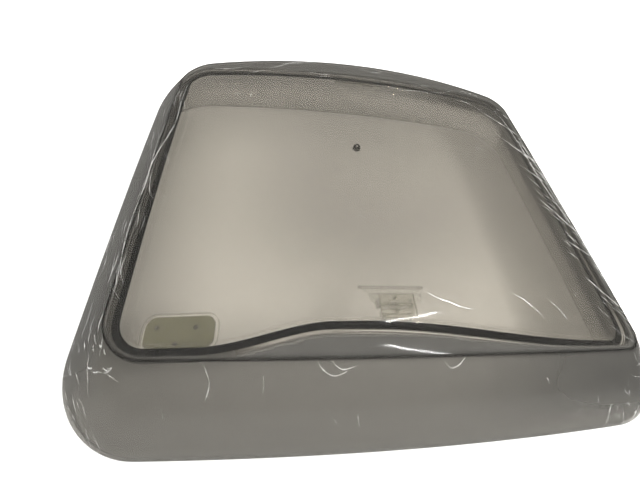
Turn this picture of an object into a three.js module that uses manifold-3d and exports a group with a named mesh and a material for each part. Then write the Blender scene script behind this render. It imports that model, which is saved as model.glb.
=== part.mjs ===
import * as THREE from 'three';
import { mergeVertices } from 'three/addons/utils/BufferGeometryUtils.js';
import Module from 'manifold-3d';

// Roof vent cover: a smoked, double-glazed dome for a roof hatch.
// Millimetres. +X right, +Y rear, +Z up. The skirt stands on Z = 0.

// Skirt at the foot. Corners run rear right, rear left, front left, front right.
const FOOT_HALF_WIDTH = 410;
const FOOT_FRONT = -344;
const FOOT_REAR = 324;
const FOOT_CORNERS = [100, 100, 100, 38];

// Shoulder, where the skirt meets the top
const SHOULDER_IN_SIDE = 77;
const SHOULDER_IN_FRONT = 87;
const SHOULDER_IN_REAR = 49;
const SHOULDER_CORNERS = [49, 49, 49, 24];
const SHOULDER_HEIGHT = 124;
const SKIRT_BULGE = 1.79;

// How far each edge bows outwards at its middle
const BOW_SIDE = 4;
const BOW_FRONT = 13;
const BOW_REAR = 33;
const SHOULDER_BOW_FRONT = 5.5;
const SHOULDER_BOW_REAR = 26;

// Arch of the top, and how it falls away at the front
const CROWN = 27;
const FRONT_CROWN = 0.35;
const FRONT_FALL = 55;

// Walls and the step of the inner pane
const DOME_WALL = 3;
const SEAM_HEIGHT = 3.5;
const PANE_WALL = 3;
const PANE_STEP = 12;
const FLANGE = 15;
const STEP_RUN = 4;
const GAP = 0.3;
const SEAM_MARGIN = 6;
const LEAST_CORNER = 4;

// Outline of the inner pane; its front edge rises in a wave behind the catch
const PANE_HALF_WIDTH = 326;
const PANE_X = -4;
const PANE_FRONT = -259.5;
const PANE_REAR = 264;
const PANE_CORNERS = [48, 48, 46, 34];
const WAVE = 22.5;

// Points round each outline
const CORNER_STEPS = 8;
const SIDE_STEPS = 8;
const REAR_STEPS = 12;
const FRONT_STEPS = 28;
const CENTRE_Y = 10;
const TOP_RINGS = [0.86, 0.68, 0.48, 0.26];

// Front catch
const CATCH_Y = -216;
const LEVER_PIN_Y = -194;
const LEVER_PIN_DROP = 14;
const PIN_R = 1.5;
const RUNNING = 0.05;

// Rear hinge
const LEAF_PIN_Y = 264;
const LEAF_PIN_DROP = 10.5;
const LEAF_HALF_WIDTH = 44;
const LEAF_HEIGHT = 34;
const LEAF_HOLE_R = 2.2;
const LEAF_HOLE_X = 16;
const LEAF_HOLE_DROP = 15;

// Corner pad and breather valve
const PAD_X = -256;
const PAD_Y = -226;
const PAD_LENGTH = 76;
const PAD_WIDTH = 35;
const STUD_R = 2.4;
const VALVE_X = -22;
const VALVE_Y = 78;

const wasm = await Module();
wasm.setup();
const { Manifold, Mesh } = wasm;

const smooth = (v) => {
  const t = Math.min(1, Math.max(0, v));
  return t * t * (3 - 2 * t);
};

// Rise of the inner pane's front edge along X
const wave = (x) => WAVE * smooth((x + 235) / 150) * smooth((275 - x) / 330);

// One closed outline of [x, y], the same number of points each time
function outline({ half, front, rear, corners, bows, middleX = 0, waved = false }) {
  const [rearRight, rearLeft, frontLeft, frontRight] = corners;
  const turns = [
    [half - rearRight, rear - rearRight, rearRight, 0, REAR_STEPS],
    [rearLeft - half, rear - rearLeft, rearLeft, 90, SIDE_STEPS],
    [frontLeft - half, front + frontLeft, frontLeft, 180, FRONT_STEPS],
    [half - frontRight, front + frontRight, frontRight, 270, SIDE_STEPS],
  ];
  const onTurn = ([cx, cy, corner, start], share) => {
    const a = THREE.MathUtils.degToRad(start + 90 * share);
    return [cx + corner * Math.cos(a), cy + corner * Math.sin(a)];
  };
  const points = [];
  turns.forEach((turn, n) => {
    for (let i = 0; i <= CORNER_STEPS; i += 1) points.push(onTurn(turn, i / CORNER_STEPS));
    const steps = turn[4];
    const from = onTurn(turn, 1);
    const to = onTurn(turns[(n + 1) % 4], 0);
    for (let i = 1; i < steps; i += 1) {
      const s = i / steps;
      points.push([from[0] + (to[0] - from[0]) * s, from[1] + (to[1] - from[1]) * s]);
    }
  });
  const middle = (front + rear) / 2;
  const reach = (rear - front) / 2;
  return points.map(([x, y]) => {
    const u = x / half;
    const v = (y - middle) / reach;
    const bow = v < 0 ? bows.front * (1 - u * u) * v : bows.rear * (1 - u * u) * v;
    const rise = waved && v < 0 ? wave(x + middleX) * -v : 0;
    return [middleX + x + bows.side * (1 - v * v) * u, y + bow + rise];
  });
}

// Outline of the skirt at a fraction of its height, moved in by a wall
function skirtOutline(t, inset = 0) {
  const k = t ** SKIRT_BULGE;
  const towards = (foot, shoulder) => foot + (shoulder - foot) * k;
  return outline({
    half: FOOT_HALF_WIDTH - SHOULDER_IN_SIDE * k - inset,
    front: FOOT_FRONT + SHOULDER_IN_FRONT * k + inset,
    rear: FOOT_REAR - SHOULDER_IN_REAR * k - inset,
    corners: FOOT_CORNERS.map((r, i) => towards(r, SHOULDER_CORNERS[i]) - inset),
    bows: {
      side: BOW_SIDE,
      front: towards(BOW_FRONT, SHOULDER_BOW_FRONT),
      rear: towards(BOW_REAR, SHOULDER_BOW_REAR),
    },
  });
}

// Outline of the inner pane, moved in from its edge
function paneOutline(inset) {
  return outline({
    half: PANE_HALF_WIDTH - inset,
    front: PANE_FRONT + inset,
    rear: PANE_REAR - inset,
    corners: PANE_CORNERS.map((r) => Math.max(r - inset, LEAST_CORNER)),
    bows: { side: BOW_SIDE, front: 0, rear: 0 },
    middleX: PANE_X,
    waved: true,
  });
}

const shoulderHalf = FOOT_HALF_WIDTH - SHOULDER_IN_SIDE + BOW_SIDE;
const shoulderFront = FOOT_FRONT + SHOULDER_IN_FRONT;

const archAt = (x) => CROWN * Math.max(0, 1 - (x / shoulderHalf) ** 2);

// Height of the dome's outer face over a point of the top
function topAt(x, y) {
  const edge = shoulderFront - SHOULDER_BOW_FRONT * Math.max(0, 1 - (x / shoulderHalf) ** 2);
  const fall = FRONT_CROWN + (1 - FRONT_CROWN) * smooth((y - edge) / FRONT_FALL);
  return SHOULDER_HEIGHT + archAt(x) * fall;
}

// Height of the inner pane's flange and of its sunken panel
const flangeAt = (x, y) => topAt(x, y) - DOME_WALL - SEAM_HEIGHT;
const panelAt = (x) => SHOULDER_HEIGHT + archAt(x) - DOME_WALL - SEAM_HEIGHT - PANE_STEP;
const underPane = (x) => panelAt(x) - PANE_WALL;

const toCentre = (points, s) => points.map(([x, y]) => [x * s, CENTRE_Y + (y - CENTRE_Y) * s]);
const lift = (points, height) => points.map(([x, y]) => [x, y, height(x, y)]);

// Solid from rings of equal length. Open ends close on a middle point.
function loft(rings, { first = null, last = null, looped = false, inward = false }) {
  const count = rings[0].length;
  const positions = rings.flat(2);
  const index = [];
  const bands = looped ? rings.length : rings.length - 1;
  for (let r = 0; r < bands; r += 1) {
    const a = r * count;
    const b = ((r + 1) % rings.length) * count;
    for (let i = 0; i < count; i += 1) {
      const j = (i + 1) % count;
      if (inward) index.push(a + i, b + j, b + i, a + i, a + j, b + j);
      else index.push(a + i, b + i, b + j, a + i, b + j, a + j);
    }
  }
  const cap = (ring, point, flip) => {
    const tip = positions.length / 3;
    positions.push(...point);
    for (let i = 0; i < count; i += 1) {
      const j = (i + 1) % count;
      if (flip) index.push(tip, ring * count + j, ring * count + i);
      else index.push(tip, ring * count + i, ring * count + j);
    }
  };
  if (first) cap(0, first, false);
  if (last) cap(rings.length - 1, last, true);
  const geometry = new THREE.BufferGeometry();
  geometry.setAttribute('position', new THREE.Float32BufferAttribute(positions, 3));
  geometry.setIndex(index);
  return geometry;
}

function domeGeometry() {
  const shoulder = skirtOutline(1);
  const heights = shoulder.map(([x, y]) => topAt(x, y));
  const tops = [
    ...TOP_RINGS.slice().reverse().map((s) => toCentre(paneOutline(FLANGE + STEP_RUN), s)),
    paneOutline(FLANGE + STEP_RUN),
    paneOutline(FLANGE),
    paneOutline(SEAM_MARGIN),
  ];
  const levels = [1, 0.95, 0.87, 0.75, 0.6, 0.42, 0.22, 0];
  const outer = [
    ...tops.map((points) => lift(points, topAt)),
    ...levels.map((t) => skirtOutline(t).map(([x, y], i) => [x, y, heights[i] * t])),
  ];
  const inner = [
    ...levels.slice().reverse().map((t) => (
      skirtOutline(t, DOME_WALL).map(([x, y], i) => [x, y, heights[i] * t - DOME_WALL * t ** 3])
    )),
    ...tops.slice().reverse().map((points) => lift(points, (x, y) => topAt(x, y) - DOME_WALL)),
  ];
  const peak = topAt(0, CENTRE_Y);
  return loft([...outer, ...inner], {
    first: [0, CENTRE_Y, peak],
    last: [0, CENTRE_Y, peak - DOME_WALL],
  });
}

function paneGeometry() {
  const panel = paneOutline(FLANGE + STEP_RUN);
  const under = paneOutline(FLANGE + STEP_RUN - PANE_WALL);
  const rings = [
    ...TOP_RINGS.slice().reverse().map((s) => lift(toCentre(panel, s), panelAt)),
    lift(panel, panelAt),
    lift(paneOutline(FLANGE), flangeAt),
    lift(paneOutline(SEAM_MARGIN), flangeAt),
    lift(paneOutline(0), flangeAt),
    lift(paneOutline(0), (x, y) => flangeAt(x, y) - PANE_WALL),
    lift(paneOutline(FLANGE - PANE_WALL), (x, y) => flangeAt(x, y) - PANE_WALL),
    lift(under, underPane),
    ...TOP_RINGS.map((s) => lift(toCentre(panel, s), underPane)),
  ];
  return loft(rings, { first: [0, CENTRE_Y, panelAt(0)], last: [0, CENTRE_Y, underPane(0)] });
}

function seamGeometry() {
  const low = (x, y) => flangeAt(x, y) + GAP;
  const high = (x, y) => topAt(x, y) - DOME_WALL - GAP;
  const outside = paneOutline(SEAM_MARGIN);
  const inside = paneOutline(FLANGE);
  return loft([
    lift(inside, low),
    lift(outside, low),
    lift(outside, high),
    lift(inside, high),
  ], { looped: true, inward: true });
}

// Solid-body helpers
function toManifold(geometry) {
  const g = geometry.clone();
  g.deleteAttribute('normal');
  g.deleteAttribute('uv');
  const merged = mergeVertices(g, 1e-4);
  const mesh = new Mesh({
    numProp: 3,
    vertProperties: new Float32Array(merged.attributes.position.array),
    triVerts: new Uint32Array(merged.index.array),
  });
  mesh.merge();
  return new Manifold(mesh);
}

function fromManifold(solid) {
  const mesh = solid.getMesh();
  const geometry = new THREE.BufferGeometry();
  geometry.setAttribute('position', new THREE.Float32BufferAttribute(mesh.vertProperties, 3));
  geometry.setIndex(Array.from(mesh.triVerts));
  return geometry;
}

// Box from its low and high corners
function block([x0, y0, z0], [x1, y1, z1]) {
  const box = new THREE.BoxGeometry(x1 - x0, y1 - y0, z1 - z0);
  return toManifold(box.translate((x0 + x1) / 2, (y0 + y1) / 2, (z0 + z1) / 2));
}

const rodX = (r, x0, x1, y, z, sides = 28) => toManifold(
  new THREE.CylinderGeometry(r, r, x1 - x0, sides).rotateZ(Math.PI / 2).translate((x0 + x1) / 2, y, z),
);
const rodY = (r, y0, y1, x, z, sides = 28) => toManifold(
  new THREE.CylinderGeometry(r, r, y1 - y0, sides).translate(x, (y0 + y1) / 2, z),
);
const rodZ = (r, z0, z1, x, y, sides = 28) => toManifold(
  new THREE.CylinderGeometry(r, r, z1 - z0, sides).rotateX(Math.PI / 2).translate(x, y, (z0 + z1) / 2),
);

// Flat plate from corner points in X and Y
function plate(points, z0, z1) {
  const shape = new THREE.Shape(points.map(([x, y]) => new THREE.Vector2(x, y)));
  const geometry = new THREE.ExtrudeGeometry(shape, { depth: z1 - z0, bevelEnabled: false });
  return toManifold(geometry.translate(0, 0, z0));
}

// Rounded rectangle plate about the origin
function roundedPlate(length, width, corner, z0, z1) {
  const shape = new THREE.Shape();
  const a = length / 2;
  const b = width / 2;
  shape.moveTo(a, b - corner);
  shape.absarc(a - corner, b - corner, corner, 0, Math.PI / 2);
  shape.absarc(corner - a, b - corner, corner, Math.PI / 2, Math.PI);
  shape.absarc(corner - a, corner - b, corner, Math.PI, 1.5 * Math.PI);
  shape.absarc(a - corner, corner - b, corner, 1.5 * Math.PI, 2 * Math.PI);
  const options = { depth: z1 - z0, bevelEnabled: false, curveSegments: 8 };
  return toManifold(new THREE.ExtrudeGeometry(shape, options).translate(0, 0, z0));
}

// Turned part about +Z from [radius, z] pairs
function turned(profile, sides = 32) {
  const points = profile.map(([r, z]) => new THREE.Vector2(r, z));
  return new THREE.LatheGeometry(points, sides).rotateX(Math.PI / 2);
}

// Front catch, hung under the inner pane behind the wave
const catchTop = underPane(24) - GAP;
const catchPad = [catchTop - 1, catchTop];
const catchPlate = [catchPad[0] - GAP - 2.4, catchPad[0] - GAP];
const catchBaseTop = catchPlate[0] - GAP;
const leverZ = underPane(0) - LEVER_PIN_DROP;
const screwYs = { front: CATCH_Y + 12.5, rear: CATCH_Y + 28.5 };

function catchBase() {
  const z = catchBaseTop;
  let base = plate([
    [-20, CATCH_Y + 5], [-15, CATCH_Y], [15, CATCH_Y], [20, CATCH_Y + 5], [21, CATCH_Y + 12],
    [35, CATCH_Y + 27], [35, CATCH_Y + 33], [-35, CATCH_Y + 33], [-35, CATCH_Y + 27], [-21, CATCH_Y + 12],
  ], z - 2.6, z);
  base = base.add(roundedPlate(40, 16, 5, z - 15, z).translate(0, CATCH_Y + 8, 0));
  base = base.subtract(block([-16.5, CATCH_Y - 1, z - 12.6], [16.5, CATCH_Y + 8.5, z - 3]));
  for (const side of [-1, 1]) {
    const x0 = Math.min(side * 20.2, side * 24);
    const x1 = Math.max(side * 20.2, side * 24);
    base = base.add(block([x0, LEVER_PIN_Y - 5.2, leverZ - 3.6], [x1, LEVER_PIN_Y + 5, z]));
  }
  base = base.subtract(rodX(PIN_R + 0.06, -30, 30, LEVER_PIN_Y, leverZ));
  for (const y of Object.values(screwYs)) {
    base = base.subtract(rodZ(1.5, z - 20, z + 1, 0, y));
    base = base.subtract(rodZ(3.2, z - 20, z - 3, 0, y));
  }
  return base;
}

function catchLever() {
  const thick = 1.3;
  let lever = plate([
    [-25, LEVER_PIN_Y + 7], [25, LEVER_PIN_Y + 7], [45, LEVER_PIN_Y + 25], [-45, LEVER_PIN_Y + 25],
  ], leverZ - thick, leverZ + thick);
  lever = lever.add(block([-19.8, LEVER_PIN_Y, leverZ - thick], [19.8, LEVER_PIN_Y + 8, leverZ + thick]));
  lever = lever.add(rodX(3.4, -19.8, 19.8, LEVER_PIN_Y, leverZ));
  lever = lever.add(block([-45, LEVER_PIN_Y + 22.6, leverZ - 5], [45, LEVER_PIN_Y + 25, leverZ]));
  lever = lever.subtract(block([-6.5, LEVER_PIN_Y - 6, leverZ - 6], [6.5, LEVER_PIN_Y + 5, leverZ + 6]));
  return lever.subtract(rodX(PIN_R + RUNNING, -30, 30, LEVER_PIN_Y, leverZ));
}

// Coil round the lever's pin
class Coil extends THREE.Curve {
  getPoint(t, target = new THREE.Vector3()) {
    const a = 2 * Math.PI * 5 * t;
    const r = 2.5;
    return target.set(-5.2 + 10.4 * t, LEVER_PIN_Y + r * Math.cos(a), leverZ + r * Math.sin(a));
  }
}

function coilGeometry() {
  const sides = 6;
  const steps = 70;
  const curve = new Coil();
  const rings = [];
  for (let i = 0; i <= steps; i += 1) {
    const centre = curve.getPoint(i / steps);
    const out = new THREE.Vector3(0, centre.y - LEVER_PIN_Y, centre.z - leverZ).normalize();
    const ring = [];
    for (let k = 0; k < sides; k += 1) {
      const a = (2 * Math.PI * k) / sides;
      const p = centre.clone().addScaledVector(out, 0.5 * Math.cos(a));
      ring.push([p.x + 0.5 * Math.sin(a), p.y, p.z]);
    }
    rings.push(ring);
  }
  return loft(rings, { first: curve.getPoint(0).toArray(), last: curve.getPoint(1).toArray() });
}

function catchScrew(y) {
  const head = catchBaseTop - 3 - GAP;
  const tip = catchPlate[0] + 1.7;
  const profile = [
    [0, head - 1.5], [1.9, head - 1.5], [2.7, head - 0.8], [2.7, head],
    [1.3, head], [1.3, tip], [0, tip], [0, head - 1.5],
  ];
  return turned(profile, 24).translate(0, y, 0);
}

function catchPlateSolid() {
  let solid = block([-23, CATCH_Y + 1, catchPlate[0]], [23, CATCH_Y + 32, catchPlate[1]]);
  for (const y of Object.values(screwYs)) {
    solid = solid.subtract(rodZ(1.5, catchPlate[0] - 1, catchPlate[0] + 2, 0, y));
  }
  return solid;
}

// Rear hinge, under the flange at the inner pane's rear edge
const hingeTop = underPane(LEAF_HALF_WIDTH) + PANE_STEP - GAP;
const hingePlate = hingeTop - 1 - GAP;
const leafZ = underPane(0) + PANE_STEP - LEAF_PIN_DROP;
const hingeFront = PANE_REAR - FLANGE + PANE_WALL + 0.6;

function hingePlateSolid() {
  const reach = LEAF_HALF_WIDTH + 4;
  let solid = block([-reach, hingeFront, hingePlate - 2.6], [reach, LEAF_PIN_Y + 4, hingePlate]);
  for (const side of [-1, 1]) {
    const x0 = Math.min(side * (LEAF_HALF_WIDTH + GAP), side * reach);
    const x1 = Math.max(side * (LEAF_HALF_WIDTH + GAP), side * reach);
    solid = solid.add(block([x0, LEAF_PIN_Y - 3.8, leafZ], [x1, LEAF_PIN_Y + 3.8, hingePlate]));
    solid = solid.add(rodX(3.8, x0, x1, LEAF_PIN_Y, leafZ));
  }
  return solid.subtract(rodX(PIN_R + 0.06, -60, 60, LEAF_PIN_Y, leafZ));
}

// Tapered leaf hanging from the pin
function leafSolid() {
  const wide = LEAF_HALF_WIDTH;
  const shape = new THREE.Shape([
    new THREE.Vector2(-wide, 0), new THREE.Vector2(wide, 0), new THREE.Vector2(wide - 1, 8),
    new THREE.Vector2(7, LEAF_HEIGHT), new THREE.Vector2(-7, LEAF_HEIGHT), new THREE.Vector2(1 - wide, 8),
  ]);
  const geometry = new THREE.ExtrudeGeometry(shape, { depth: 3, bevelEnabled: false });
  let solid = toManifold(geometry.rotateX(-Math.PI / 2).translate(0, LEAF_PIN_Y - 1.5, leafZ));
  solid = solid.add(rodX(3.6, -wide, wide, LEAF_PIN_Y, leafZ));
  for (const x of [-LEAF_HOLE_X, LEAF_HOLE_X]) {
    const hole = rodY(LEAF_HOLE_R, LEAF_PIN_Y - 10, LEAF_PIN_Y + 10, x, leafZ - LEAF_HOLE_DROP);
    solid = solid.subtract(hole);
  }
  return solid.subtract(rodX(PIN_R + RUNNING, -60, 60, LEAF_PIN_Y, leafZ));
}

// Corner pad: an olive strip in a clear tray, tilted to follow the arch
const padSlope = Math.atan((-2 * CROWN * PAD_X) / shoulderHalf ** 2);
const padTop = underPane(PAD_X) - 1.4;
const studSpots = { left: [-26, 6], right: [17, 5], front: [-3, -12.5] };

const placePad = (solid) => fromManifold(solid).rotateY(-padSlope).translate(PAD_X, PAD_Y, padTop);

function padStrip() {
  let solid = roundedPlate(PAD_LENGTH, PAD_WIDTH, 11, -2.4, 0);
  for (const [x, y] of Object.values(studSpots)) solid = solid.subtract(rodZ(STUD_R + 0.4, -5, 1, x, y, 20));
  return solid;
}

function padTray() {
  let solid = roundedPlate(PAD_LENGTH + 9, PAD_WIDTH + 9, 15, -4.6, 0);
  return solid.subtract(roundedPlate(PAD_LENGTH + 0.8, PAD_WIDTH + 0.8, 11.4, -2.7, 1));
}

const padStud = ([x, y]) => rodZ(STUD_R, -2.4, -0.2, x, y, 20);

// Breather valve in the inner pane
const valveTop = panelAt(VALVE_X);
const valveUnder = underPane(VALVE_X);

function paneWithValveHole() {
  const hole = rodZ(4.6, valveUnder - 5, valveTop + 5, VALVE_X, VALVE_Y, 32);
  return fromManifold(toManifold(paneGeometry()).subtract(hole));
}

const valvePlug = turned([
  [1.7, valveUnder - 2.2], [6.6, valveUnder - 2.2], [6.6, valveUnder - 0.4], [4.2, valveUnder - 0.4],
  [4.2, valveTop + 0.4], [5.6, valveTop + 0.4], [4.6, valveTop + 1.6], [1.7, valveTop + 1.6],
  [1.7, valveUnder - 2.2],
]).translate(VALVE_X, VALVE_Y, 0);

const valveFilter = turned([
  [0, valveUnder - 0.6], [1.4, valveUnder - 0.6], [1.4, valveTop + 0.9], [0, valveTop + 0.9],
  [0, valveUnder - 0.6],
], 20).translate(VALVE_X, VALVE_Y, 0);

// Finishes
const smoked = { color: 0x8a867c, roughness: 0.12, transparent: true, opacity: 0.5 };
const finishes = {
  smokedDome: smoked,
  smokedPane: { ...smoked, color: 0x99958a },
  blackSeam: { color: 0x1d1b18, roughness: 0.5 },
  clear: { color: 0xd9dad2, roughness: 0.1, transparent: true, opacity: 0.45 },
  tape: { color: 0xd6d6cc, roughness: 0.4, transparent: true, opacity: 0.35 },
  olive: { color: 0x70704f, roughness: 0.7 },
  steel: { color: 0xb9bbbd, roughness: 0.3, metalness: 0.9 },
  darkRubber: { color: 0x24231f, roughness: 0.7 },
  filter: { color: 0xe6e4dc, roughness: 0.9 },
};

const group = new THREE.Group();
group.name = 'roof_vent_cover';

function add(name, shape, finish) {
  const geometry = shape instanceof THREE.BufferGeometry ? shape : fromManifold(shape);
  const mesh = new THREE.Mesh(geometry, new THREE.MeshStandardMaterial(finishes[finish]));
  mesh.name = name;
  group.add(mesh);
}

add('outer_dome', domeGeometry(), 'smokedDome');
add('inner_pane', paneWithValveHole(), 'smokedPane');
add('bonding_seam', seamGeometry(), 'blackSeam');

const padBlock = block([-23, CATCH_Y + 1, catchPad[0]], [23, CATCH_Y + 32, catchPad[1]]);
add('front_catch_pad', padBlock, 'tape');
add('front_catch_plate', catchPlateSolid(), 'clear');
add('front_catch_base', catchBase(), 'clear');
add('front_catch_lever', catchLever(), 'clear');
add('front_catch_pin', rodX(PIN_R, -24.4, 24.4, LEVER_PIN_Y, leverZ), 'steel');
add('front_catch_spring', coilGeometry(), 'steel');
add('front_catch_screw_front', catchScrew(screwYs.front), 'steel');
add('front_catch_screw_rear', catchScrew(screwYs.rear), 'steel');

const tapeHalf = LEAF_HALF_WIDTH - 2;
const hingeTape = block([-tapeHalf, hingeFront, hingeTop - 1], [tapeHalf, PANE_REAR - 0.5, hingeTop]);
add('rear_hinge_pad', hingeTape, 'tape');
add('rear_hinge_plate', hingePlateSolid(), 'clear');
add('rear_hinge_leaf', leafSolid(), 'clear');
const pinEnd = LEAF_HALF_WIDTH + 4.4;
add('rear_hinge_pin', rodX(PIN_R, -pinEnd, pinEnd, LEAF_PIN_Y, leafZ), 'steel');

add('corner_pad', placePad(padStrip()), 'olive');
add('corner_pad_tray', placePad(padTray()), 'clear');
for (const [place, spot] of Object.entries(studSpots)) {
  add(`corner_pad_stud_${place}`, placePad(padStud(spot)), 'darkRubber');
}

add('valve_plug', valvePlug, 'darkRubber');
add('valve_filter', valveFilter, 'filter');

export default group;
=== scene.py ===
"""Roof vent cover: the looks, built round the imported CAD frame. Metres, +Z up."""

import math
import random

import bpy
import numpy as np
from mathutils import Matrix, Vector
from mathutils.bvhtree import BVHTree


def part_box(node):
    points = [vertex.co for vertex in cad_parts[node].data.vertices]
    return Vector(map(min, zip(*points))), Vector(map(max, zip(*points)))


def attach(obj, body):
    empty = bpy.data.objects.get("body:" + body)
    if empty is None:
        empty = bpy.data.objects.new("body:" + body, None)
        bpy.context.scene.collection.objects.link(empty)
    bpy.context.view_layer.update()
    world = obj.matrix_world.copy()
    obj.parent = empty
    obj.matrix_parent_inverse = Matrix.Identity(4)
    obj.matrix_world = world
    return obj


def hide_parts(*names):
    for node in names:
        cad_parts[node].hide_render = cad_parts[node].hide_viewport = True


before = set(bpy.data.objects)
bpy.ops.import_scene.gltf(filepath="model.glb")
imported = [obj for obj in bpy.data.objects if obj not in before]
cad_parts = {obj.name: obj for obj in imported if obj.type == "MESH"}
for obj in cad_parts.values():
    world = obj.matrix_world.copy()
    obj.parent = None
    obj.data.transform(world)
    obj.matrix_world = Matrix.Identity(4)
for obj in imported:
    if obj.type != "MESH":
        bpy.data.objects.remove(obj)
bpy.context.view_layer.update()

# ---------------------------------------------------------------- driving sizes
dome_low, dome_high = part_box("outer_dome")
pane_low, pane_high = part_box("inner_pane")

BOW_SIDE = 0.004
BOW_FRONT = 0.013
BOW_REAR = 0.033
SHOULDER_BOW_FRONT = 0.0055
SHOULDER_BOW_REAR = 0.026
SKIRT_BULGE = 1.79

FOOT_HALF = dome_high.x - BOW_SIDE
FOOT_FRONT = dome_low.y + BOW_FRONT
FOOT_REAR = dome_high.y - BOW_REAR
SHOULDER_IN_SIDE = 0.077
SHOULDER_IN_FRONT = 0.087
SHOULDER_IN_REAR = 0.049
CROWN = 0.027
SHOULDER_HEIGHT = dome_high.z - CROWN
FRONT_CROWN = 0.35
FRONT_FALL = 0.055

# Corner radii run rear right, rear left, front left, front right
FOOT_CORNERS = np.array([0.084, 0.100, 0.100, 0.038])
SHOULDER_CORNERS = np.array([0.036, 0.049, 0.049, 0.024])
PANE_CORNERS = np.array([0.048, 0.048, 0.046, 0.034])
LEAST_CORNER = 0.004

DOME_WALL = 0.003
FILM_SPACE = 0.0012
SEAM_HEIGHT = 0.0035
PANE_WALL = 0.003
PANE_STEP = 0.012
FLANGE = 0.015
STEP_RUN = 0.004
GAP = 0.0003
SEAM_MARGIN = 0.006

PANE_X = (pane_low.x + pane_high.x) / 2
PANE_HALF = pane_high.x - PANE_X - BOW_SIDE
PANE_FRONT = pane_low.y
PANE_REAR = pane_high.y
WAVE = 0.0225
CENTRE_Y = 0.010

SHOULDER_HALF = FOOT_HALF - SHOULDER_IN_SIDE + BOW_SIDE
SHOULDER_FRONT = FOOT_FRONT + SHOULDER_IN_FRONT

# Painted shade along the dome's shoulder crease: a near-black line, with a soft painted shadow below it on
# the left skirt
CREASE_SHADE_REACH = 0.0034
SHADOW_REACH = 0.016
SHADOW_DEPTH = 0.45
STEP_FOOT = 0.006
BEAD_CROWN = 0.0010
RIDGES = (0.0044, 0.0016)
RIDGE_REACH = 0.0008
RIDGE_HEIGHT = 0.0004
FILM_LIFT = 0.0006
FILM_THICK = 0.00006

DOME_TINT = (0.862, 0.85, 0.83)
DOME_BODY = (0.127, 0.122, 0.112)
# Painted shade: a darker, more opaque body on the skirt and on the strip in front of the pane, deeper on the
# sides, rear and right front
SKIRT_SHADE = 0.50
SIDE_SHADE = 1.1
STRIP_SHADE = 1.75
RIGHT_SHARE = 0.55
REAR_SHARE = 0.12
FRONT_RIGHT_SHARE = 1.2
# How opaque the painted dark line at edges becomes
EDGE_SHADE_DARKNESS = 0.92
# How strongly the painted highlight on the ridge crests shows
RIDGE_HIGHLIGHT = 0.85
PANE_TINT = (0.985, 0.98, 0.97)
# Light milky body of the inner pane: partly the pane's own haze, partly painted light that brightens the top
PANE_BODY = (0.66, 0.64, 0.60)
PANE_OPACITY = (0.035, 0.35)
# Painted shade: how much darker the pane's tint gets over its middle
PANE_MIDDLE_SHADE = 0.80
# Painted shade on the inner pane's flange rim, stronger down the left side
RIM_SHADE = 0.85
LEFT_RIM_SHADE = 0.93

CAMERA_AZIMUTH = -15.96
CAMERA_ELEVATION = 57.29
CAMERA_ROLL = 15.50
CAMERA_DISTANCE = 0.5581
CAMERA_TARGET = (-0.0716, -0.0294, 0)
CAMERA_LENS = 16.875

# Folds of the packing film: start, end, bow, width, height
MAIN_FOLDS = [
    ((0.028, -0.190), (0.088, -0.212), -0.05, 0.0034, 0.0005),
    ((0.150, -0.190), (0.185, -0.222), 0.08, 0.0020, 0.0005),
    ((0.205, -0.198), (0.222, -0.222), 0.05, 0.0020, 0.0005),
    ((-0.228, -0.258), (-0.222, -0.295), 0.20, 0.0015, 0.0003),
    ((-0.105, -0.262), (-0.070, -0.272), -0.25, 0.0020, 0.0005),
    ((-0.090, -0.262), (-0.062, -0.268), -0.20, 0.0016, 0.0004),
    ((0.040, -0.264), (0.068, -0.262), -0.35, 0.0024, 0.0005),
    ((0.255, 0.215), (0.385, 0.085), 0.05, 0.0034, 0.0006),
    ((0.265, 0.150), (0.380, 0.060), -0.06, 0.0030, 0.0006),
    ((0.280, 0.070), (0.395, -0.060), 0.05, 0.0034, 0.0006),
    ((0.285, -0.010), (0.390, -0.120), -0.04, 0.0030, 0.0006),
    ((0.290, -0.090), (0.400, -0.190), 0.06, 0.0034, 0.0006),
    ((0.300, -0.170), (0.385, -0.260), 0.03, 0.0030, 0.0006),
    ((0.300, 0.235), (0.330, -0.200), 0.02, 0.0030, 0.0006),
    ((0.325, 0.180), (0.352, -0.150), -0.02, 0.0026, 0.0006),
    ((-0.318, 0.230), (-0.345, -0.060), 0.02, 0.0022, 0.0005),
    ((-0.335, 0.120), (-0.330, -0.190), -0.02, 0.0022, 0.0005),
]

# Patches of small folds: x range, y range, heading and its spread in degrees, lengths, widths, count
FOLD_PATCHES = [
    ((0.285, 0.380), (-0.270, 0.240), -50, 35, (0.020, 0.090), (0.0008, 0.0018), 70),
    ((-0.385, -0.322), (-0.250, 0.240), -82, 18, (0.020, 0.090), (0.0006, 0.0012), 34),
    ((-0.385, -0.340), (-0.320, -0.220), -75, 35, (0.010, 0.035), (0.0006, 0.0014), 20),
    ((-0.345, -0.318), (-0.268, -0.235), -30, 60, (0.006, 0.018), (0.0020, 0.0036), 9),
    ((0.300, 0.380), (-0.330, -0.250), -30, 50, (0.015, 0.060), (0.0009, 0.0024), 36),
    ((-0.280, 0.280), (-0.335, -0.270), -70, 20, (0.008, 0.030), (0.0006, 0.0012), 8),
    ((-0.300, 0.300), (0.225, 0.290), 5, 30, (0.030, 0.090), (0.0007, 0.0016), 14),
    ((-0.280, 0.280), (-0.200, 0.230), 0, 180, (0.008, 0.022), (0.0006, 0.0012), 8),
]


# ---------------------------------------------------------------- shape rules
def smooth(v):
    t = np.clip(v, 0, 1)
    return t * t * (3 - 2 * t)


def wave(x):
    return WAVE * smooth((x + 0.235) / 0.150) * smooth((0.275 - x) / 0.330)


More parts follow.
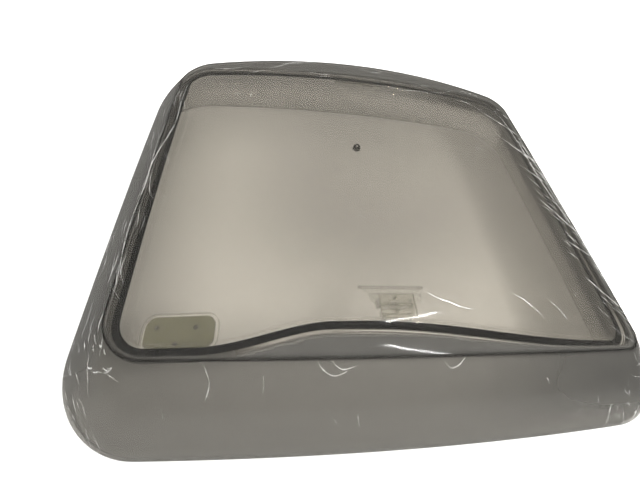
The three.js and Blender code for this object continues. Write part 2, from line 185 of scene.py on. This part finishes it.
def outline(half, front, rear, corners, bows, steps, middle_x=0.0, waved=False):
    """Closed outline as an array of x, y: the same number of points for the same steps."""
    turn_steps, side, back, fore = steps
    rear_right, rear_left, front_left, front_right = corners
    turns = [
        (half - rear_right, rear - rear_right, rear_right, 0, back),
        (rear_left - half, rear - rear_left, rear_left, 90, side),
        (front_left - half, front + front_left, front_left, 180, fore),
        (half - front_right, front + front_right, front_right, 270, side),
    ]

    def on_turn(turn, share):
        cx, cy, corner, start, _ = turn
        a = np.radians(start + 90 * np.atleast_1d(share))
        return np.c_[cx + corner * np.cos(a), cy + corner * np.sin(a)]

    points = []
    for n, turn in enumerate(turns):
        arc = on_turn(turn, np.linspace(0, 1, turn_steps + 1))
        following = on_turn(turns[(n + 1) % 4], 0)
        s = np.linspace(0, 1, turn[4] + 1)[1:-1, None]
        points += [arc, arc[-1] + (following - arc[-1]) * s]
    p = np.concatenate(points)
    u = p[:, 0] / half
    v = (p[:, 1] - (front + rear) / 2) / ((rear - front) / 2)
    bow = np.where(v < 0, bows[1], bows[2]) * (1 - u * u) * v
    rise = np.where(v < 0, -wave(p[:, 0] + middle_x) * v, 0) if waved else 0
    return np.c_[middle_x + p[:, 0] + bows[0] * (1 - v * v) * u, p[:, 1] + bow + rise]


def skirt_outline(t, inset, steps):
    k = t**SKIRT_BULGE
    return outline(
        FOOT_HALF - SHOULDER_IN_SIDE * k - inset,
        FOOT_FRONT + SHOULDER_IN_FRONT * k + inset,
        FOOT_REAR - SHOULDER_IN_REAR * k - inset,
        FOOT_CORNERS + (SHOULDER_CORNERS - FOOT_CORNERS) * k - inset,
        (
            BOW_SIDE,
            BOW_FRONT + (SHOULDER_BOW_FRONT - BOW_FRONT) * k,
            BOW_REAR + (SHOULDER_BOW_REAR - BOW_REAR) * k,
        ),
        steps,
    )


def pane_outline(inset, steps):
    return outline(
        PANE_HALF - inset,
        PANE_FRONT + inset,
        PANE_REAR - inset,
        np.maximum(PANE_CORNERS - inset, LEAST_CORNER),
        (BOW_SIDE, 0, 0),
        steps,
        middle_x=PANE_X,
        waved=True,
    )


def arch_at(x):
    return CROWN * np.maximum(0, 1 - (x / SHOULDER_HALF) ** 2)


def top_at(p):
    """Height of the dome's outer face over points of the top."""
    x, y = p[:, 0], p[:, 1]
    edge = SHOULDER_FRONT - SHOULDER_BOW_FRONT * np.maximum(0, 1 - (x / SHOULDER_HALF) ** 2)
    fall = FRONT_CROWN + (1 - FRONT_CROWN) * smooth((y - edge) / FRONT_FALL)
    return SHOULDER_HEIGHT + arch_at(x) * fall


def flange_at(p):
    return top_at(p) - DOME_WALL - SEAM_HEIGHT


def panel_at(p):
    return SHOULDER_HEIGHT + arch_at(p[:, 0]) - DOME_WALL - SEAM_HEIGHT - PANE_STEP


def to_centre(points, s):
    middle = np.array([0, CENTRE_Y])
    return middle + (points - middle) * s


def lift(points, height):
    return np.c_[points, height(points)]


# ---------------------------------------------------------------- mesh helpers
def make_object(name, verts, faces, sharp=None):
    mesh = bpy.data.meshes.new(name)
    mesh.from_pydata([tuple(v) for v in verts], [], faces)
    mesh.validate()
    mesh.update()
    obj = bpy.data.objects.new(name, mesh)
    bpy.context.scene.collection.objects.link(obj)
    mesh.polygons.foreach_set("use_smooth", [True] * len(mesh.polygons))
    if sharp is not None:
        mesh.set_sharp_from_angle(angle=math.radians(sharp))
    return obj


def loft(name, rings, looped=False, sharp=None):
    """Closed body through rings of equal length. Open ends close on their middle point."""
    count = len(rings[0])
    verts = np.concatenate(rings)
    faces = []
    around = np.arange(count)
    after = (around + 1) % count
    bands = len(rings) if looped else len(rings) - 1
    for r in range(bands):
        a = r * count
        b = (r + 1) % len(rings) * count
        faces += np.c_[a + around, b + around, b + after, a + after].tolist()
    if not looped:
        tips = [rings[0].mean(0), rings[-1].mean(0)]
        first, last = len(verts), len(verts) + 1
        verts = np.concatenate([verts, tips])
        end = (len(rings) - 1) * count
        faces += [[first, i, j] for i, j in zip(around.tolist(), after.tolist())]
        faces += [[last, end + j, end + i] for i, j in zip(around.tolist(), after.tolist())]
    return make_object(name, verts, faces, sharp)


# ---------------------------------------------------------------- node helpers
class Nodes:
    """Small helper that adds and joins shader nodes."""

    def __init__(self, name):
        self.material = bpy.data.materials.new(name)
        self.material.use_nodes = True
        self.tree = self.material.node_tree
        self.tree.nodes.clear()
        self.out = self.tree.nodes.new("ShaderNodeOutputMaterial")

    def add(self, kind, **settings):
        node = self.tree.nodes.new("ShaderNode" + kind)
        for key, value in settings.items():
            if key in node.inputs:
                node.inputs[key].default_value = value
            else:
                setattr(node, key, value)
        return node

    def join(self, source, target):
        self.tree.links.new(source, target)

    def math(self, operation, a, b=None):
        node = self.add("Math", operation=operation)
        for socket, value in zip(node.inputs, (a, b)):
            if value is None:
                continue
            if isinstance(value, (int, float)):
                socket.default_value = value
            else:
                self.join(value, socket)
        return node.outputs[0]

    def spread(self, value, low, high, to_low, to_high):
        node = self.add("MapRange")
        self.join(value, node.inputs["Value"])
        for key, v in zip(("From Min", "From Max", "To Min", "To Max"), (low, high, to_low, to_high)):
            node.inputs[key].default_value = v
        return node.outputs[0]

    def noise(self, scale, detail=3):
        node = self.add("TexNoise", Scale=scale, Detail=detail, Roughness=0.5)
        self.join(self.add("TexCoord").outputs["Object"], node.inputs["Vector"])
        return node.outputs["Fac"]

    def colours(self, value, low, high):
        """Colour between two plain colours."""
        node = self.add("Mix", data_type="RGBA")
        self.join(value, node.inputs["Factor"])
        sockets = [socket for socket in node.inputs if socket.type == "RGBA"]
        sockets[0].default_value = (*low, 1)
        sockets[1].default_value = (*high, 1)
        return next(socket for socket in node.outputs if socket.type == "RGBA")

    def blend(self, factor, a, b):
        """Colour between a, a socket, and b, a plain colour."""
        node = self.add("Mix", data_type="RGBA")
        self.join(factor, node.inputs["Factor"])
        sockets = [socket for socket in node.inputs if socket.type == "RGBA"]
        self.join(a, sockets[0])
        sockets[1].default_value = b
        return next(socket for socket in node.outputs if socket.type == "RGBA")

    def attribute(self, name):
        return self.add("Attribute", attribute_name=name).outputs["Fac"]

    def bump(self, value, distance, strength=1.0):
        node = self.add("Bump", Distance=distance, Strength=strength)
        self.join(value, node.inputs["Height"])
        return node.outputs[0]

    def mix(self, factor, a, b):
        node = self.add("MixShader")
        if isinstance(factor, (int, float)):
            node.inputs[0].default_value = factor
        else:
            self.join(factor, node.inputs[0])
        self.join(a, node.inputs[1])
        self.join(b, node.inputs[2])
        return node.outputs[0]

    def finish(self, shader):
        self.join(shader, self.out.inputs["Surface"])
        return self.material


def sheet_glass(
    name, tint, body, opacity, rough, mirror, falls=(2.2, 4.0), ripple=0.0006, ripple_scale=9,
    shaded=False, middle_shade=None, ripple_mask=None
):
    """Thin smoked or clear sheet: passes tinted light, under a mirror skin that grows at a glance.

    opacity and mirror each give the share face on and the share edge on, and falls how late each grows.
    A shaded sheet also reads painted shade and painted highlight from the mesh: a dark painted line at
    edges, a deeper painted shade on the skirt and light ridge crests; middle_shade darkens the tint where
    the mesh marks a painted middle shade."""
    n = Nodes(name)
    waves = n.noise(ripple_scale, 3)
    if ripple_mask:
        waves = n.math("MULTIPLY", waves, n.attribute(ripple_mask))
    ripples = n.bump(waves, ripple)
    facing = n.add("LayerWeight", Blend=0.5)
    n.join(ripples, facing.inputs["Normal"])
    glance = facing.outputs["Facing"]
    solid = n.spread(n.math("POWER", glance, falls[0]), 0, 1, *opacity)
    mirrored = n.spread(n.math("POWER", glance, falls[1]), 0, 1, *mirror)
    dust = n.noise(45, 4)
    body_colour = n.colours(dust, [c * 0.9 for c in body], [c * 1.1 for c in body])
    if shaded:
        # Painted shade: the depth mark makes the body darker and more opaque, the edge mark adds a
        # near-black painted line and dims the mirror there
        edge_shade, shade_depth = n.attribute("painted_edge_shade"), n.attribute("painted_shade_depth")
        solid = n.math("MAXIMUM", solid, n.math("MULTIPLY", shade_depth, SKIRT_SHADE))
        solid = n.math("MAXIMUM", solid, n.math("MULTIPLY", edge_shade, EDGE_SHADE_DARKNESS))
        mirrored = n.math("MULTIPLY", mirrored, n.spread(edge_shade, 0, 1, 1, 0.3))
        body_colour = n.blend(n.spread(shade_depth, 1, 2, 0, 0.6), body_colour, (0.02, 0.02, 0.02, 1))
        body_colour = n.blend(edge_shade, body_colour, (0.008, 0.0075, 0.007, 1))
        # Painted highlight: a light, more opaque body on the ridge crests
        painted_ridge_highlight = n.attribute("painted_ridge_highlight")
        solid = n.math("MAXIMUM", solid, n.math("MULTIPLY", painted_ridge_highlight, RIDGE_HIGHLIGHT))
        body_colour = n.blend(painted_ridge_highlight, body_colour, (0.85, 0.84, 0.81, 1))
    through = n.add("BsdfTransparent")
    clear = n.colours(dust, [c * 0.985 for c in tint], tint)
    # Painted shade: a darker tint where the mesh marks the middle
    if middle_shade:
        clear = n.blend(n.attribute("painted_middle_shade"), clear, (*[c * middle_shade for c in tint], 1))
    n.join(clear, through.inputs["Color"])
    matter = n.add("BsdfDiffuse")
    n.join(body_colour, matter.inputs["Color"])
    skin = n.add("BsdfGlossy", Color=(1, 1, 1, 1))
    n.join(n.spread(dust, 0.3, 0.7, rough * 0.8, rough * 1.25), skin.inputs["Roughness"])
    n.join(ripples, skin.inputs["Normal"])
    inside = n.mix(solid, through.outputs[0], matter.outputs[0])
    return n.finish(n.mix(mirrored, inside, skin.outputs[0]))


def solid_finish(name, low, high, roughness, scale=60, bump=0.0001, metallic=0.0, specular=0.5):
    """Opaque finish with mottled colour, uneven roughness and a fine bump."""
    n = Nodes(name)
    mottle = n.noise(scale, 5)
    shader = n.add("BsdfPrincipled", Metallic=metallic)
    shader.inputs["Specular IOR Level"].default_value = specular
    n.join(n.colours(mottle, low, high), shader.inputs["Base Color"])
    n.join(n.spread(mottle, 0.3, 0.7, roughness - 0.06, roughness + 0.06), shader.inputs["Roughness"])
    n.join(n.bump(n.noise(scale * 8, 3), bump), shader.inputs["Normal"])
    return n.finish(shader.outputs[0])


def fold_film(name):
    """Doubled film along a fold: mostly clear, milky where it is stretched, with a bright skin."""
    n = Nodes(name)
    streak = n.noise(90, 4)
    through = n.add("BsdfTransparent", Color=(0.96, 0.96, 0.95, 1))
    milk = n.add("BsdfDiffuse")
    n.join(n.colours(streak, (0.55, 0.54, 0.51), (0.9, 0.89, 0.86)), milk.inputs["Color"])
    skin = n.add("BsdfGlossy", Color=(1, 1, 1, 1))
    n.join(n.spread(streak, 0.3, 0.7, 0.12, 0.3), skin.inputs["Roughness"])
    clear = n.mix(n.spread(streak, 0.4, 0.7, 0.0, 0.18), through.outputs[0], milk.outputs[0])
    return n.finish(n.mix(n.spread(streak, 0.35, 0.65, 0.03, 0.24), clear, skin.outputs[0]))


# ---------------------------------------------------------------- outer dome
DENSE = ((20, 36, 60, 140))
TOP_SHARES = np.linspace(0.05, 1, 20)
STRIP_SHARES = [0.1, 0.2, 0.3, 0.4, 0.5, 0.6, 0.7, 0.8, 0.88, 0.93, 0.96, 0.98]
SKIRT_LEVELS = [1, 0.994, 0.986, 0.974, 0.958, 0.94, 0.915, 0.885, 0.85, 0.81, 0.77, 0.73, 0.69, 0.65,
                0.61, 0.57, 0.53, 0.49, 0.45, 0.41, 0.37, 0.33, 0.29, 0.25, 0.21, 0.17, 0.13, 0.09, 0.05, 0]
SHOULDER_RING = len(TOP_SHARES) + len(STRIP_SHARES)


def dome_rings(lower, wall):
    """Rings of the dome from its middle to its foot, lowered a little and moved in by a wall."""
    heights = top_at(skirt_outline(1, 0, DENSE))
    inner_ring = pane_outline(FLANGE + STEP_RUN, DENSE)
    edge = skirt_outline(1, wall, DENSE)
    rings = [lift(to_centre(inner_ring, s), top_at) for s in TOP_SHARES]
    rings += [lift(inner_ring + (edge - inner_ring) * s, top_at) for s in STRIP_SHARES]
    rings = [ring - [0, 0, wall + lower] for ring in rings]
    for t in SKIRT_LEVELS:
        ring = skirt_outline(t, wall + lower, DENSE)
        z = heights * t - (wall + lower) * smooth((t - 0.25) / 0.75)
        rings.append(np.c_[ring, np.maximum(z, 0)])
    return rings


def paint(obj, name, values):
    """Writes one number per vertex for a material to read."""
    attribute = obj.data.attributes.new(name, "FLOAT", "POINT")
    attribute.data.foreach_set("value", np.asarray(values, dtype=np.float32))


def shade_depth_at(ring):
    """Depth of the painted shade down the skirt: plain at the front left, deeper on the sides, the rear and
    the right front.
    """
    side = smooth((np.abs(ring[:, 0]) - 0.325) / 0.03) * smooth((ring[:, 1] + 0.30) / 0.08)
    side *= np.where(ring[:, 0] > 0, RIGHT_SHARE, 1)
    rear = smooth((ring[:, 1] - 0.26) / 0.03)
    right = FRONT_RIGHT_SHARE * smooth((ring[:, 0] - 0.05) / 0.35) * smooth((ring[:, 2] - 0.035) / 0.07)
    return 1 + SIDE_SHADE * np.maximum(side * (1 - rear), np.maximum(REAR_SHARE * rear, right))


def make_dome():
    outer = dome_rings(FILM_SPACE, 0)
    inner = dome_rings(FILM_SPACE, DOME_WALL)
    rings = outer + inner[::-1]
    dome = loft("dome_shell", rings, sharp=60)
    shoulder = outer[SHOULDER_RING]
    inner_ring = outer[len(TOP_SHARES) - 1]
    to_pane_edge = np.linalg.norm(pane_outline(0, DENSE) - inner_ring[:, :2], axis=1)
    # Painted shade: a dark line along the shoulder crease and a soft painted shadow below it on the skirt,
    # outer face only
    edge_shade = []
    for n, ring in enumerate(rings):
        apart = np.linalg.norm(ring - shoulder, axis=1)
        shadow = SHADOW_DEPTH * np.exp(-((apart / SHADOW_REACH) ** 2)) * smooth((-0.05 - ring[:, 0]) / 0.2)
        dark = np.maximum(np.exp(-((apart / CREASE_SHADE_REACH) ** 2)), shadow * (n > SHOULDER_RING))
        edge_shade.append(dark * (n < len(outer)))
    paint(dome, "painted_edge_shade", np.concatenate(edge_shade + [np.zeros(2)]))
    # Painted shade depth: down the skirt, and on the strip between the pane's edge and the shoulder
    painted_shade_depth = []
    for n, ring in enumerate(rings):
        level = min(n, len(rings) - 1 - n)
        past_pane = np.linalg.norm((ring - inner_ring)[:, :2], axis=1) - to_pane_edge
        strip_shade = smooth((past_pane + 0.001) / 0.003) * STRIP_SHADE * (level >= len(TOP_SHARES))
        painted_shade_depth.append(shade_depth_at(ring) if level >= SHOULDER_RING else strip_shade)
    paint(dome, "painted_shade_depth", np.concatenate(painted_shade_depth + [np.zeros(2)]))
    dome.data.materials.append(sheet_glass(
        "smoked_dome", DOME_TINT, DOME_BODY, (0.008, 0.7), 0.05, (0.004, 0.03), falls=(4.0, 4.0),
        shaded=True))
    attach(dome, "dome")
    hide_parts("outer_dome")


# ---------------------------------------------------------------- inner pane and seam
def make_pane():
    panel = pane_outline(FLANGE + STEP_RUN + STEP_FOOT, DENSE)
    shares = np.linspace(0.05, 0.985, 20)
    top = [lift(to_centre(panel, s), panel_at) for s in shares]
    for s in np.linspace(0, 1, 14):
        ring = pane_outline(FLANGE + (STEP_RUN + STEP_FOOT) * (1 - s), DENSE)
        blend = float(smooth(s)) ** 1.8
        top.append(np.c_[ring, panel_at(ring) * (1 - blend) + flange_at(ring) * blend])
    bottom = [ring - [0, 0, PANE_WALL] for ring in top]
    insets = np.r_[0.012, 0.009, np.linspace(0.0062, 0.0003, 14)]
    plain = [(np.zeros(len(ring)), np.zeros(len(ring))) for ring in top]
    marks = plain
    for inset in insets:
        ring = pane_outline(inset, DENSE)
        ridge = sum(math.exp(-(((inset - at) / RIDGE_REACH) ** 2)) for at in RIDGES)
        top.append(lift(ring, flange_at) + [0, 0, RIDGE_HEIGHT * ridge])
        fore = smooth((-0.20 - ring[:, 1]) / 0.02) * smooth((ring[:, 0] + 0.10) / 0.06)
        # Painted shade on the flange rim: darkest at the very edge, deeper along the front and down the left
        # side
        dark = RIM_SHADE if inset < 0.003 else 0.5 + 0.35 * fore
        dark = np.maximum(dark, LEFT_RIM_SHADE * smooth((-0.10 - ring[:, 0]) / 0.10))
        # The second mark is a painted highlight on the ridge crests along the front
        marks.append((dark * (inset < 0.0065), ridge**2 * fore))
        bottom.append(lift(ring, flange_at) - [0, 0, PANE_WALL])
    rim = lift(pane_outline(0, DENSE), flange_at) - [0, 0, PANE_WALL / 2]
    # Painted shade on the rim's outer edge
    rim_marks = (np.full(len(rim), RIM_SHADE), np.zeros(len(rim)))
    pane = loft("pane_shell", top + [rim] + bottom[::-1], sharp=50)
    marks = marks + [rim_marks] + [(np.zeros(len(rim)), np.zeros(len(rim)))] * len(bottom)
    paint(pane, "painted_edge_shade", np.concatenate([mark[0] for mark in marks] + [np.zeros(2)]))
    paint(pane, "painted_ridge_highlight", np.concatenate([mark[1] for mark in marks] + [np.zeros(2)]))
    # Painted shade: a darker tint over the middle of the pane, fading out towards its edges
    spots = np.array([v.co[:2] for v in pane.data.vertices])
    apart = np.linalg.norm((spots - [0, -0.01]) / [PANE_HALF, -PANE_FRONT], axis=1)
    paint(pane, "painted_middle_shade", 1 - smooth((apart - 0.25) / 0.75))
    pane.data.materials.append(sheet_glass(
        "smoked_pane", PANE_TINT, PANE_BODY, PANE_OPACITY, 0.06, (0.014, 0.4), shaded=True,
        middle_shade=PANE_MIDDLE_SHADE))
    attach(pane, "dome")
    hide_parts("inner_pane")


def make_seam():
    """Black bead in the gap between the two panes, gently crowned."""
    inner, outer = FLANGE - 0.0006, SEAM_MARGIN + 0.0003
    rings = [lift(pane_outline(i, DENSE), flange_at) + [0, 0, GAP] for i in (inner, outer)]
    for s in np.linspace(0, 1, 17):
        ring = pane_outline(outer + (inner - outer) * s, DENSE)
        rise = BEAD_CROWN * math.sin(math.pi * s) ** 0.5
        rings.append(lift(ring, top_at) - [0, 0, DOME_WALL + FILM_SPACE + 0.0014 - rise])
    seam = loft("seam_bead", rings, looped=True, sharp=50)
    seam.data.materials.append(solid_finish(
        "seam_black", (0.003, 0.0028, 0.0025), (0.007, 0.0065, 0.006), 0.3, 80, 0.0001, specular=0.06))
    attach(seam, "dome")
    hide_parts("bonding_seam")


# ---------------------------------------------------------------- packing film
def make_film():
    """Thin clear packing film, stretched over the dome and folded in at the sides and corners."""
    outer = dome_rings(FILM_SPACE - FILM_LIFT, 0)
    inner = dome_rings(FILM_SPACE - FILM_LIFT + FILM_THICK, 0)
    rings = outer + inner[::-1]
    film = loft("wrap_film", rings, sharp=60)
    points = np.concatenate(rings)
    paint(film, "crumple", np.append(crumple_at(points), [0, 0]))
    film.data.materials.append(sheet_glass(
        "film_clear", (0.975, 0.975, 0.97), (0.22, 0.215, 0.20), (0.002, 0.03), 0.09, (0.003, 0.02),
        ripple=0.0022, ripple_scale=22, ripple_mask="crumple"))
    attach(film, "dome")
    return film


def crumple_at(points):
    """How crumpled the film is: smooth on the top, worst down the sides and at the corners."""
    x, y = points[:, 0], points[:, 1]
    left = smooth((-0.285 - x) / 0.05)
    right = smooth((x - 0.235) / 0.07)
    fore = smooth((-0.275 - y) / 0.06) * (0.25 + 0.75 * smooth((np.abs(x) - 0.20) / 0.12))
    return np.clip(0.03 + 0.8 * left + right + fore, 0, 1)


class Folds:
    """Narrow raised folds laid along paths in plan, each a closed sliver with pointed ends."""

    def __init__(self, ground):
        mesh = ground.data
        verts = [v.co.copy() for v in mesh.vertices]
        self.tree = BVHTree.FromPolygons(verts, [tuple(p.vertices) for p in mesh.polygons])
        self.verts = []
        self.faces = []

    def drop(self, x, y):
        place, normal, _, _ = self.tree.ray_cast(Vector((x, y, 1)), Vector((0, 0, -1)))
        if place is None:
            return None
        return np.array(place), np.array(normal if normal.z > 0 else -normal)

    def lay(self, path, width, height):
        hits = [self.drop(x, y) for x, y in path]
        if any(hit is None for hit in hits):
            return
        places = np.array([hit[0] for hit in hits])
        normals = np.array([hit[1] for hit in hits])
        along = np.gradient(places, axis=0)
        across = np.cross(normals, along)
        across /= np.maximum(np.linalg.norm(across, axis=1, keepdims=True), 1e-9)
        start = len(self.verts)
        count = len(path)
        profile = [(-1, -0.3), (-0.45, 0.55), (0, 1), (0.45, 0.55), (1, -0.3)]
        self.verts.append(places[0])
        for i in range(1, count - 1):
            taper = math.sin(math.pi * i / (count - 1)) ** 0.6
            for side, rise in profile:
                self.verts.append(
                    places[i] + across[i] * side * width / 2 * taper + normals[i] * rise * height * taper)
        self.verts.append(places[-1])
        size = len(profile)
        last = len(self.verts) - 1
        rings = count - 2
        for k in range(size):
            nxt = (k + 1) % size
            self.faces.append([start, start + 1 + nxt, start + 1 + k])
            end = start + 1 + (rings - 1) * size
            self.faces.append([last, end + k, end + nxt])
            for r in range(rings - 1):
                a = start + 1 + r * size
                self.faces.append([a + k, a + nxt, a + size + nxt, a + size + k])


def wander(start, end, bend, rng, count=22):
    """Plan path from start to end with a bow to one side and a little wobble."""
    s = np.linspace(0, 1, count)[:, None]
    start, end = np.array(start), np.array(end)
    across = np.array([-(end - start)[1], (end - start)[0]])
    phase = rng.uniform(0, 6.28)
    wobble = 0.012 * np.sin(s * rng.uniform(7, 13) + phase) * np.sin(math.pi * s)
    return start + (end - start) * s + across * (bend * 4 * s * (1 - s) + wobble)


def make_folds(film):
    rng = random.Random(11)
    folds = Folds(film)
    for start, end, bend, width, height in MAIN_FOLDS:
        folds.lay(wander(start, end, bend, rng), width, height)
    for (x0, x1), (y0, y1), heading, spread, (short, long), (thin, thick), count in FOLD_PATCHES:
        for _ in range(count):
            x, y = rng.uniform(x0, x1), rng.uniform(y0, y1)
            a = math.radians(heading + rng.uniform(-spread, spread))
            reach = rng.uniform(short, long) * rng.uniform(0.5, 1)
            end = (x + reach * math.cos(a), y + reach * math.sin(a))
            size = rng.uniform(thin, thick)
            folds.lay(wander((x, y), end, rng.uniform(-0.15, 0.15), rng, 14), size, size * 0.3)
    obj = make_object("film_folds", folds.verts, folds.faces)
    obj.data.materials.append(fold_film("film_folded"))
    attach(obj, "dome")


# ---------------------------------------------------------------- fittings
def edge_glint_and_shade(name):
    """Bevelled edge of a clear moulding with painted highlight and painted shade: near white where it faces
    the eye, near black where it turns away.
    """
    n = Nodes(name)
    shader = n.add("BsdfPrincipled", Roughness=0.12, Metallic=0.8)
    facing = n.add("LayerWeight", Blend=0.5).outputs["Facing"]
    flow = n.noise(240, 3)
    level = n.math("ADD", n.spread(facing, 0.12, 0.5, 0, 1), n.spread(flow, 0.3, 0.7, -0.25, 0.25))
    n.join(n.colours(level, (0.98, 0.98, 0.95), (0.01, 0.01, 0.009)), shader.inputs["Base Color"])
    through = n.add("BsdfTransparent", Color=(0.95, 0.95, 0.93, 1))
    return n.finish(n.mix(n.spread(flow, 0.3, 0.7, 0.75, 1), through.outputs[0], shader.outputs[0]))


def softened(node, name, body, materials, bevel=0.0011):
    """Copy of a CAD node, with rounded edges in the last material, which stands for the node."""
    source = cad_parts[node]
    piece = source.copy()
    piece.data = source.data.copy()
    piece.name = name
    piece.parent = None
    for key in list(piece.keys()):
        del piece[key]
    bpy.context.scene.collection.objects.link(piece)
    piece.data.materials.clear()
    for material in materials:
        piece.data.materials.append(material)
    weld = piece.modifiers.new("weld", "WELD")
    weld.merge_threshold = 0.00002
    flat = piece.modifiers.new("flat", "DECIMATE")
    flat.decimate_type = "DISSOLVE"
    flat.angle_limit = math.radians(1.5)
    round_over = piece.modifiers.new("round", "BEVEL")
    round_over.width = bevel
    round_over.segments = 3
    round_over.limit_method = "ANGLE"
    round_over.angle_limit = math.radians(35)
    round_over.material = len(materials) - 1
    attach(piece, body)
    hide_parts(node)


def make_fittings():
    clear = sheet_glass(
        "clear_moulding", (0.997, 0.997, 0.99), (0.16, 0.16, 0.145), (0.003, 0.6), 0.06, (0.02, 0.6),
        falls=(1.3, 2.0), ripple=0.0005, ripple_scale=120)
    # The bevels of the clear mouldings carry a painted highlight and painted shade
    moulded = (clear, edge_glint_and_shade("clear_edge_glint_shade"))
    tape = sheet_glass(
        "clear_tape", (0.99, 0.99, 0.975), (0.45, 0.44, 0.40), (0.015, 0.4), 0.3, (0.01, 0.3),
        ripple=0.0006, ripple_scale=200)
    steel = solid_finish("bright_steel", (0.42, 0.42, 0.43), (0.6, 0.6, 0.61), 0.28, 90, 0.00005, metallic=1)
    olive = solid_finish("olive_foam", (0.10, 0.102, 0.053), (0.15, 0.153, 0.085), 0.62, 260, 0.0004)
    dark = solid_finish(
        "dark_rubber", (0.004, 0.004, 0.0035), (0.010, 0.0095, 0.008), 0.6, 120, 0.0003, specular=0.2)
    felt = solid_finish("filter_felt", (0.62, 0.6, 0.54), (0.86, 0.84, 0.78), 0.9, 700, 0.0006)
    softened("front_catch_plate", "catch_plate_clear", "dome", moulded, 0.001)
    softened("front_catch_base", "catch_base_clear", "dome", moulded, 0.0018)
    softened("front_catch_lever", "catch_lever_clear", "catch_lever", moulded)
    softened("rear_hinge_plate", "hinge_plate_clear", "dome", moulded)
    softened("rear_hinge_leaf", "hinge_leaf_clear", "hinge_leaf", moulded)
    softened("corner_pad_tray", "corner_tray_clear", "dome", moulded, 0.0009)
    plain = {
        "front_catch_pad": tape, "rear_hinge_pad": tape, "corner_pad": olive,
        "front_catch_pin": steel, "rear_hinge_pin": steel, "front_catch_spring": steel,
        "front_catch_screw_front": steel, "front_catch_screw_rear": steel,
        "corner_pad_stud_left": dark, "corner_pad_stud_right": dark, "corner_pad_stud_front": dark,
        "valve_plug": dark, "valve_filter": felt,
    }
    for node, material in plain.items():
        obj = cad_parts[node]
        obj.data.materials.clear()
        obj.data.materials.append(material)


# ---------------------------------------------------------------- stage
def make_stage():
    mesh = bpy.data.meshes.new("floor")
    reach = 6
    mesh.from_pydata([(-reach, -reach, 0), (reach, -reach, 0), (reach, reach, 0), (-reach, reach, 0)],
                     [], [(0, 1, 2, 3)])
    floor = bpy.data.objects.new("floor", mesh)
    bpy.context.scene.collection.objects.link(floor)
    n = Nodes("floor_white")
    shader = n.add("BsdfDiffuse")
    n.join(n.colours(n.noise(3, 2), (0.86, 0.86, 0.86), (0.88, 0.88, 0.88)), shader.inputs["Color"])
    mesh.materials.append(n.finish(shader.outputs[0]))


def area_light(name, place, aim, size, power, colour=(1, 1, 1)):
    data = bpy.data.lights.new(name, "AREA")
    data.shape = "RECTANGLE"
    data.size, data.size_y = size
    data.energy = power
    data.color = colour
    lamp = bpy.data.objects.new(name, data)
    bpy.context.scene.collection.objects.link(lamp)
    lamp.location = place
    lamp.rotation_mode = "QUATERNION"
    lamp.rotation_quaternion = (Vector(aim) - Vector(place)).to_track_quat("-Z", "Y")


def make_lights():
    """Soft studio: bright overhead, dim round the horizon, and four strips that catch the folds."""
    world = bpy.data.worlds.new("studio")
    bpy.context.scene.world = world
    world.use_nodes = True
    tree = world.node_tree
    back = tree.nodes["Background"]
    back.inputs["Color"].default_value = (1.0, 0.99, 0.97, 1)
    where = tree.nodes.new("ShaderNodeTexCoord")
    split = tree.nodes.new("ShaderNodeSeparateXYZ")
    level = tree.nodes.new("ShaderNodeMapRange")
    level.interpolation_type = "SMOOTHSTEP"
    level.inputs["From Min"].default_value = 0.05
    level.inputs["From Max"].default_value = 0.85
    level.inputs["To Min"].default_value = 0.25
    level.inputs["To Max"].default_value = 2.3
    tree.links.new(where.outputs["Generated"], split.inputs[0])
    tree.links.new(split.outputs["Z"], level.inputs["Value"])
    tree.links.new(level.outputs[0], back.inputs["Strength"])
    area_light("strip_left", (-2.2, 0.4, 0.45), (-0.2, 0, 0.1), (1.4, 0.25), 9, (0.96, 0.98, 1))
    area_light("strip_right", (2.2, 0.3, 0.5), (0.2, 0, 0.1), (1.4, 0.25), 9, (1, 0.98, 0.95))
    area_light("strip_rear", (0.3, 2.8, 0.55), (0, 0, 0.1), (1.4, 0.25), 12, (1, 1, 1))
    area_light("strip_front", (0.62, -0.59, 1.35), (0, -0.25, 0.12), (0.65, 0.04), 11, (1, 1, 1))


def make_camera():
    """Wide lens close over the front left of the dome, tilted a little."""
    angles = (CAMERA_AZIMUTH, CAMERA_ELEVATION, CAMERA_ROLL)
    azimuth, elevation, roll = (math.radians(a) for a in angles)
    back = Vector((math.sin(azimuth) * math.cos(elevation),
                   -math.cos(azimuth) * math.cos(elevation), math.sin(elevation)))
    right = (-back).cross(Vector((0, 0, 1))).normalized()
    up = right.cross(-back)
    turned_right = right * math.cos(roll) + up * math.sin(roll)
    turned_up = up * math.cos(roll) - right * math.sin(roll)
    data = bpy.data.cameras.new("camera")
    data.sensor_width = 36
    data.lens = CAMERA_LENS
    data.clip_start = 0.01
    camera = bpy.data.objects.new("camera", data)
    bpy.context.scene.collection.objects.link(camera)
    place = Matrix((turned_right, turned_up, back)).transposed().to_4x4()
    place.translation = Vector(CAMERA_TARGET) + back * CAMERA_DISTANCE
    camera.matrix_world = place
    bpy.context.scene.camera = camera


bpy.context.scene.view_settings.view_transform = "Standard"
bpy.context.scene.cycles.transparent_max_bounces = 32
make_dome()
make_pane()
make_seam()
make_folds(make_film())
make_fittings()
make_stage()
make_lights()
make_camera()
